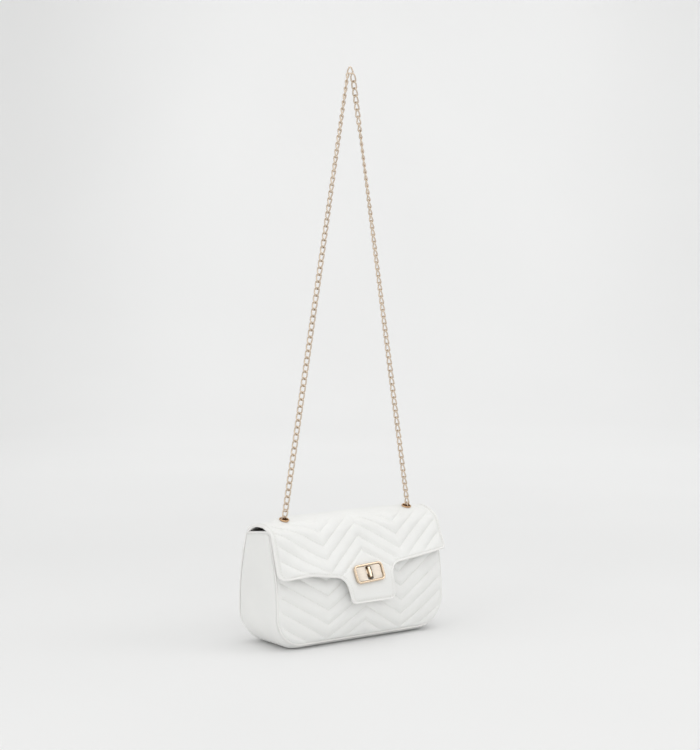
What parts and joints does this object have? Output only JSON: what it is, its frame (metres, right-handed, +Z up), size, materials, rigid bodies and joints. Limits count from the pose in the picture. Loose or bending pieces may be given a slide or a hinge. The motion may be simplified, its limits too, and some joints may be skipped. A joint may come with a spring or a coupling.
{
  "type": "quilted flap handbag",
  "caption": "Quilted flap handbag with a rounded body, a folding front flap with a tongue and a turn lock, top eyelets and a long curb chain strap held up in a peak.",
  "frame": {"origin": "middle of the flat underside of the base", "axes": "+X along the bag's length to the viewer's right, +Y towards the back panel, +Z up; the flap's tongue and lock face -Y"},
  "size_m": [0.256, 0.1108, 0.6987],
  "materials": {
    "outer_leather": "off-white coated, quilted and softly glossy",
    "edge_leather": "off-white, smooth",
    "lining_cloth": "taupe woven lining",
    "stiff_board": "grey stiffener board, hidden",
    "rose_gold_metal": "light rose gold plating, polished",
    "strap_metal": "light rose gold plating, polished"
  },
  "bodies": {
    "bag": {"gusset": "outer_leather", "front_panel": "outer_leather", "back_panel": "outer_leather", "front_welt": "edge_leather", "back_welt": "edge_leather", "base_board": "stiff_board", "lining": "lining_cloth", "mouth_binding": "edge_leather", "slip_pocket": "lining_cloth", "flap_yoke": "outer_leather", "yoke_lining": "edge_leather", "yoke_piping_left": "edge_leather", "yoke_piping_right": "edge_leather", "lock_base": "rose_gold_metal", "lock_washer": "rose_gold_metal", "eyelet_left": "rose_gold_metal", "eyelet_right": "rose_gold_metal", "eyelet_washer_left": "rose_gold_metal", "eyelet_washer_right": "rose_gold_metal", "strap_chain_left": "strap_metal", "strap_chain_right": "strap_metal", "strap_top_link": "strap_metal", "inner_chain_left": "strap_metal", "inner_chain_right": "strap_metal", "d_ring_left": "rose_gold_metal", "d_ring_right": "rose_gold_metal", "ring_tab_left": "edge_leather", "ring_tab_right": "edge_leather", "tab_rivet_left": "rose_gold_metal", "tab_rivet_right": "rose_gold_metal"},
    "flap": {"flap_front": "outer_leather", "flap_lining": "edge_leather", "flap_piping": "edge_leather", "lock_frame": "rose_gold_metal", "lock_plate": "rose_gold_metal", "lock_back_plate": "rose_gold_metal", "lock_screw_left": "rose_gold_metal", "lock_screw_right": "rose_gold_metal"},
    "turn_knob": {"lock_knob": "rose_gold_metal"}
  },
  "joints": [
    {"name": "flap_fold", "type": "hinge", "parent": "bag", "child": "flap", "pos_m": [0, -0.0189, 0.1504], "axis": [-1, 0, 0], "range_deg": [0, 140]},
    {"name": "knob_turn", "type": "hinge", "parent": "bag", "child": "turn_knob", "pos_m": [-0.00008, -0.05474, 0.08743], "axis": [0, -0.9226, 0.3857], "range_deg": [0, 90]}
  ]
}
